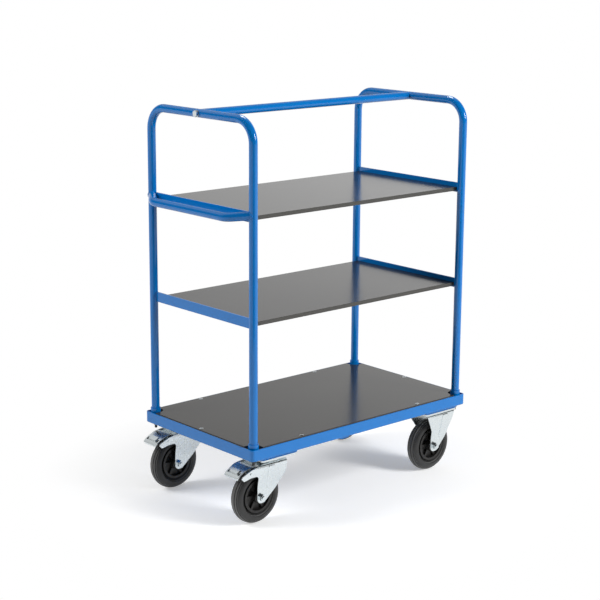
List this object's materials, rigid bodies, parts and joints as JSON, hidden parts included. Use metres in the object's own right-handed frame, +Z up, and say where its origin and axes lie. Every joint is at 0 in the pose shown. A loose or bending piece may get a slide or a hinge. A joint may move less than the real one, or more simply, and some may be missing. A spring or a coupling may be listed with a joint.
{
  "type": "shelf trolley",
  "caption": "Tubular steel shelf trolley with a framed deck, open shelves between bent-tube gables, a push handle, braked swivel casters and fixed casters.",
  "frame": {"origin": "on the floor, under the middle of the trolley's overall box", "axes": "+X away from the push handle, +Y to the rear, +Z up"},
  "size_m": [0.926, 0.515, 1.195],
  "materials": {
    "blue_powder_coat": "smooth blue powder coat, semi-gloss",
    "dark_board": "dark grey film-faced board, satin",
    "zinc": "bright zinc-plated steel",
    "black_tyre": "black rubber",
    "dark_rim": "black moulded plastic",
    "brake_rubber": "black rubber block"
  },
  "bodies": {
    "trolley": {"front_rail": "blue_powder_coat", "rear_rail": "blue_powder_coat", "handle_end_rail": "blue_powder_coat", "far_end_rail": "blue_powder_coat", "swivel_mount_plate": "blue_powder_coat", "fixed_mount_plate": "blue_powder_coat", "cross_strap": "blue_powder_coat", "corner_sockets": "blue_powder_coat", "handle_gable": "blue_powder_coat", "far_gable": "blue_powder_coat", "tie_bar": "blue_powder_coat", "push_handle": "blue_powder_coat", "handle_upper_support": "blue_powder_coat", "handle_middle_support": "blue_powder_coat", "far_upper_support": "blue_powder_coat", "far_middle_support": "blue_powder_coat", "deck_board": "dark_board", "upper_shelf": "dark_board", "middle_shelf": "dark_board", "deck_screws": "zinc", "shelf_screws": "zinc", "gable_bolts": "zinc", "tie_bar_bolts": "zinc", "caster_bolts": "zinc", "front_swivel_plate": "zinc", "front_swivel_king_pin": "zinc", "front_swivel_balls": "zinc", "front_fixed_plate": "zinc", "front_fixed_bracket": "zinc", "front_fixed_axle": "zinc", "rear_swivel_plate": "zinc", "rear_swivel_king_pin": "zinc", "rear_swivel_balls": "zinc", "rear_fixed_plate": "zinc", "rear_fixed_bracket": "zinc", "rear_fixed_axle": "zinc"},
    "front_swivel": {"front_swivel_fork": "zinc", "front_swivel_dust_ring": "zinc", "front_swivel_pedal_pin": "zinc", "front_swivel_axle": "zinc"},
    "front_swivel_wheel": {"front_swivel_tyre": "black_tyre", "front_swivel_rim": "dark_rim", "front_swivel_bearing": "zinc"},
    "front_brake": {"front_swivel_brake_pedal": "zinc", "front_swivel_brake_shoe": "brake_rubber"},
    "front_fixed_wheel": {"front_fixed_tyre": "black_tyre", "front_fixed_rim": "dark_rim", "front_fixed_bearing": "zinc"},
    "rear_swivel": {"rear_swivel_fork": "zinc", "rear_swivel_dust_ring": "zinc", "rear_swivel_pedal_pin": "zinc", "rear_swivel_axle": "zinc"},
    "rear_swivel_wheel": {"rear_swivel_tyre": "black_tyre", "rear_swivel_rim": "dark_rim", "rear_swivel_bearing": "zinc"},
    "rear_brake": {"rear_swivel_brake_pedal": "zinc", "rear_swivel_brake_shoe": "brake_rubber"},
    "rear_fixed_wheel": {"rear_fixed_tyre": "black_tyre", "rear_fixed_rim": "dark_rim", "rear_fixed_bearing": "zinc"}
  },
  "joints": [
    {"name": "front_swivel_turn", "type": "hinge", "parent": "trolley", "child": "front_swivel", "pos_m": [-0.3175, -0.197, 0.189], "axis": [0, 0, 1], "continuous": true},
    {"name": "front_swivel_wheel_spin", "type": "hinge", "parent": "front_swivel", "child": "front_swivel_wheel", "pos_m": [-0.3675, -0.197, 0.084], "axis": [0, 1, 0], "continuous": true},
    {"name": "front_brake_press", "type": "hinge", "parent": "front_swivel", "child": "front_brake", "pos_m": [-0.4145, -0.197, 0.167], "axis": [0, 1, 0], "range_deg": [-11, 0]},
    {"name": "front_fixed_wheel_spin", "type": "hinge", "parent": "trolley", "child": "front_fixed_wheel", "pos_m": [0.3585, -0.197, 0.084], "axis": [0, 1, 0], "continuous": true},
    {"name": "rear_swivel_turn", "type": "hinge", "parent": "trolley", "child": "rear_swivel", "pos_m": [-0.3175, 0.197, 0.189], "axis": [0, 0, 1], "continuous": true},
    {"name": "rear_swivel_wheel_spin", "type": "hinge", "parent": "rear_swivel", "child": "rear_swivel_wheel", "pos_m": [-0.3675, 0.197, 0.084], "axis": [0, 1, 0], "continuous": true},
    {"name": "rear_brake_press", "type": "hinge", "parent": "rear_swivel", "child": "rear_brake", "pos_m": [-0.4145, 0.197, 0.167], "axis": [0, 1, 0], "range_deg": [-11, 0]},
    {"name": "rear_fixed_wheel_spin", "type": "hinge", "parent": "trolley", "child": "rear_fixed_wheel", "pos_m": [0.3585, 0.197, 0.084], "axis": [0, 1, 0], "continuous": true}
  ]
}
